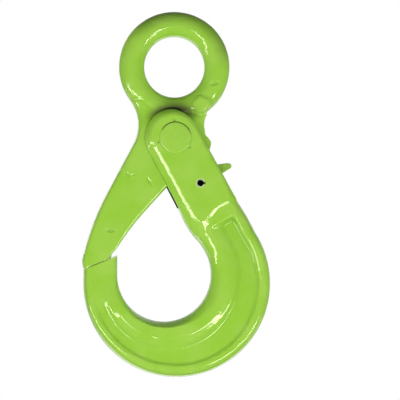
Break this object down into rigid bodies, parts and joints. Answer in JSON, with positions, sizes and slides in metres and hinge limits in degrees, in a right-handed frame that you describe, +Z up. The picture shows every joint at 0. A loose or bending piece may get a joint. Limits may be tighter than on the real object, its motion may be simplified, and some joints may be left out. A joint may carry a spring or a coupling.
{
  "type": "self-locking eye hook",
  "caption": "Forged lifting hook with a round eye whose long latch arm closes the throat; the hook swings open on a load pin and a sprung trigger in the fork locks it.",
  "frame": {"origin": "centre of the eye, halfway through its depth", "axes": "+Z up through the eye as the hook hangs, +X to the right seen from the front (the back of the bowl), +Y away from the viewer along the load pin"},
  "size_m": [0.1108, 0.026, 0.2153],
  "materials": {
    "forging_paint": "lime green enamel over forged steel, semi gloss",
    "pin_paint": "lime green enamel over a staked steel pin",
    "trigger_paint": "lime green enamel, duller in the fork",
    "spring_steel": "hardened spring steel, oiled"
  },
  "bodies": {
    "eye": {"eye_latch": "forging_paint"},
    "hook": {"hook_body": "forging_paint", "load_pin": "pin_paint", "trigger_pin": "spring_steel", "trigger_spring": "spring_steel"},
    "trigger": {"trigger": "trigger_paint"}
  },
  "joints": [
    {"name": "hook_swing", "type": "hinge", "parent": "eye", "child": "hook", "pos_m": [-0.0003, 0, -0.0415], "axis": [0, -1, 0], "range_deg": [0, 50]},
    {"name": "trigger_press", "type": "hinge", "parent": "hook", "child": "trigger", "pos_m": [0.01435, 0, -0.06814], "axis": [0, 1, 0], "range_deg": [-8, 8], "stiffness_Nm_per_rad": 0.4, "springref_deg": -17.19, "deforming": ["trigger_spring"]}
  ]
}
